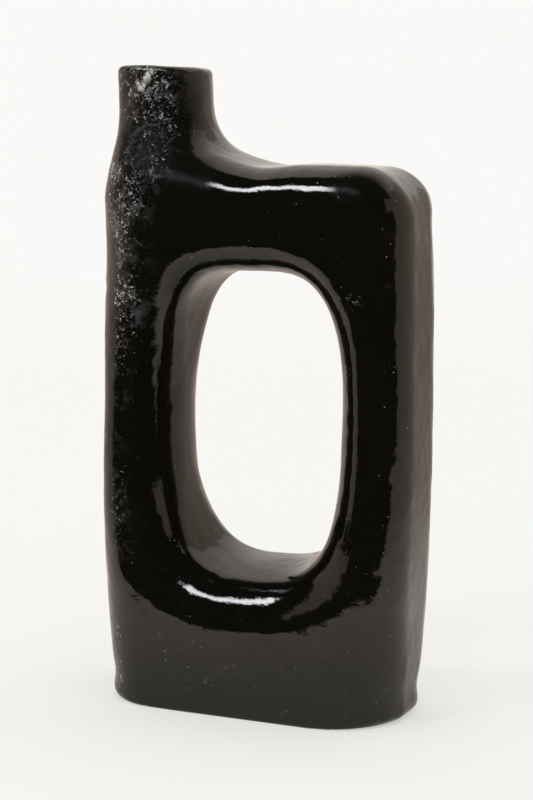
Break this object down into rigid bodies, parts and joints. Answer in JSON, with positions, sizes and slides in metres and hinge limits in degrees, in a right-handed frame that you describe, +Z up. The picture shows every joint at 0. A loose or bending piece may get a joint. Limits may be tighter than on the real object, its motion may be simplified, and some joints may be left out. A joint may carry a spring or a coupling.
{
  "type": "vase",
  "caption": "Hand-built glossy black clay vase: a flat rounded body with an oval opening right through it and a short neck above its left-hand column.",
  "frame": {"origin": "middle of the underside of the base slab, at the height it stands on", "axes": "+Z up, +X to the right seen from the front (the neck is on the -X side), -Y out of the front face"},
  "size_m": [0.167, 0.078, 0.324],
  "materials": {
    "clay": "high gloss black, hand-worked surface",
    "inner_clay": "bare black clay, matt"
  },
  "bodies": {
    "root": {"base_slab": "clay", "base_seam_coil": "inner_clay", "front_wall": "clay", "back_wall": "clay", "left_wall": "clay", "right_wall": "clay", "shoulder": "clay", "opening_lining": "clay", "front_lip_coil": "clay", "back_lip_coil": "clay", "neck": "clay", "neck_collar": "clay", "rim_coil": "clay"}
  },
  "joints": []
}
